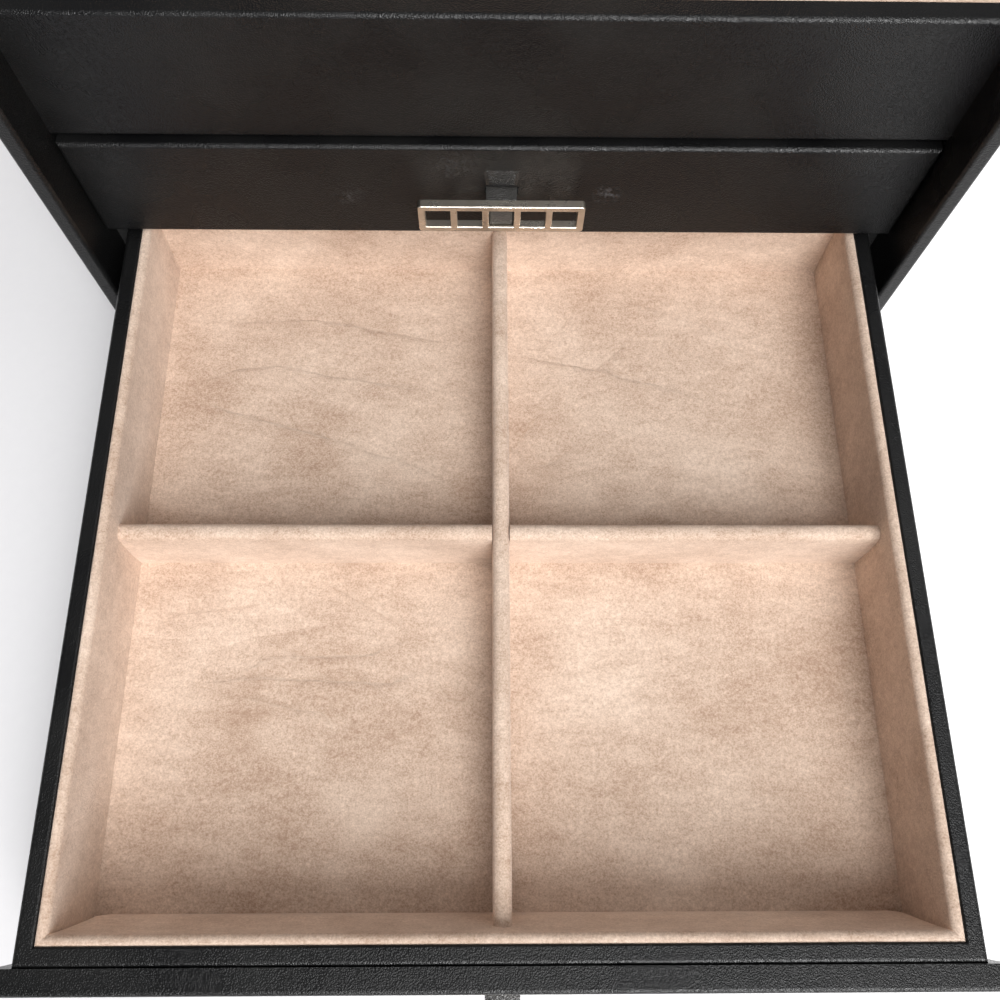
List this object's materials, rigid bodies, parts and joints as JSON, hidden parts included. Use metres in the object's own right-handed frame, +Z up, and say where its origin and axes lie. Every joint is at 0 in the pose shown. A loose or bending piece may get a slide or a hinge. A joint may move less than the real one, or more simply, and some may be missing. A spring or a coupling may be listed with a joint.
{
  "type": "jewellery box",
  "caption": "Leather-covered jewellery box with a hinged lid, a lined top compartment and sliding drawers with suede dividers and metal pulls on leather tabs.",
  "frame": {"origin": "middle of the resting face under the case", "axes": "+Z up, drawers open towards -Y, +X to the right seen from the front"},
  "size_m": [0.262, 0.4993, 0.3833],
  "materials": {
    "leather": "satin fine-grained black leather over board",
    "black_lining": "board faced in matt black",
    "suede": "tan suede over card",
    "felt": "black felt",
    "nickel": "polished nickel",
    "brass": "satin brass"
  },
  "bodies": {
    "case": {"side_panel_left": "leather", "side_panel_right": "leather", "inner_wall_left": "black_lining", "inner_wall_right": "black_lining", "back_panel": "leather", "base_panel": "leather", "base_felt": "felt", "cavity_board": "black_lining", "drawer_shelf": "black_lining", "top_floor": "black_lining", "fixed_front_panel": "leather", "top_floor_card": "suede", "top_long_divider": "suede", "top_cross_dividers": "suede", "case_hinge_leaves": "brass", "case_hinge_screws": "brass", "hinge_pins": "brass", "top_lining_front": "suede", "top_lining_back": "suede", "top_lining_left": "suede", "top_lining_right": "suede"},
    "lid": {"lid_board": "leather", "lid_lining": "suede", "lid_hinge_leaves": "brass", "lid_hinge_screws": "brass"},
    "upper_drawer": {"upper_front_panel": "leather", "upper_bottom": "leather", "upper_floor_card": "suede", "upper_long_divider": "suede", "upper_cross_divider": "suede", "upper_front_wall": "leather", "upper_back_wall": "leather", "upper_left_wall": "leather", "upper_right_wall": "leather", "upper_lining_front": "suede", "upper_lining_back": "suede", "upper_lining_left": "suede", "upper_lining_right": "suede"},
    "upper_pull": {"upper_pull_plate": "nickel", "upper_pull_strap": "leather"},
    "lower_drawer": {"lower_front_panel": "leather", "lower_bottom": "leather", "lower_floor_card": "suede", "lower_long_divider": "suede", "lower_cross_divider": "suede", "lower_front_wall": "leather", "lower_back_wall": "leather", "lower_left_wall": "leather", "lower_right_wall": "leather", "lower_lining_front": "suede", "lower_lining_back": "suede", "lower_lining_left": "suede", "lower_lining_right": "suede"},
    "lower_pull": {"lower_pull_plate": "nickel", "lower_pull_strap": "leather"}
  },
  "joints": [
    {"name": "upper_drawer_slide", "type": "slide", "parent": "case", "child": "upper_drawer", "axis": [0, -1, 0], "range_m": [0, 0.222]},
    {"name": "lower_drawer_slide", "type": "slide", "parent": "case", "child": "lower_drawer", "axis": [0, -1, 0], "range_m": [-0.2185, 0.0035]},
    {"name": "lid_hinge", "type": "hinge", "parent": "case", "child": "lid", "pos_m": [0, 0.125, 0.13075], "axis": [1, 0, 0], "range_deg": [0, 95]},
    {"name": "upper_pull_flex", "type": "hinge", "parent": "upper_drawer", "child": "upper_pull", "pos_m": [0, -0.1159, 0.0692], "axis": [-1, 0, 0], "range_deg": [-15, 40], "stiffness_Nm_per_rad": 0.01, "springref_deg": 1.72},
    {"name": "lower_pull_flex", "type": "hinge", "parent": "lower_drawer", "child": "lower_pull", "pos_m": [0, -0.3344, 0.0277], "axis": [-1, 0, 0], "range_deg": [-15, 40], "stiffness_Nm_per_rad": 0.01, "springref_deg": 1.72}
  ]
}
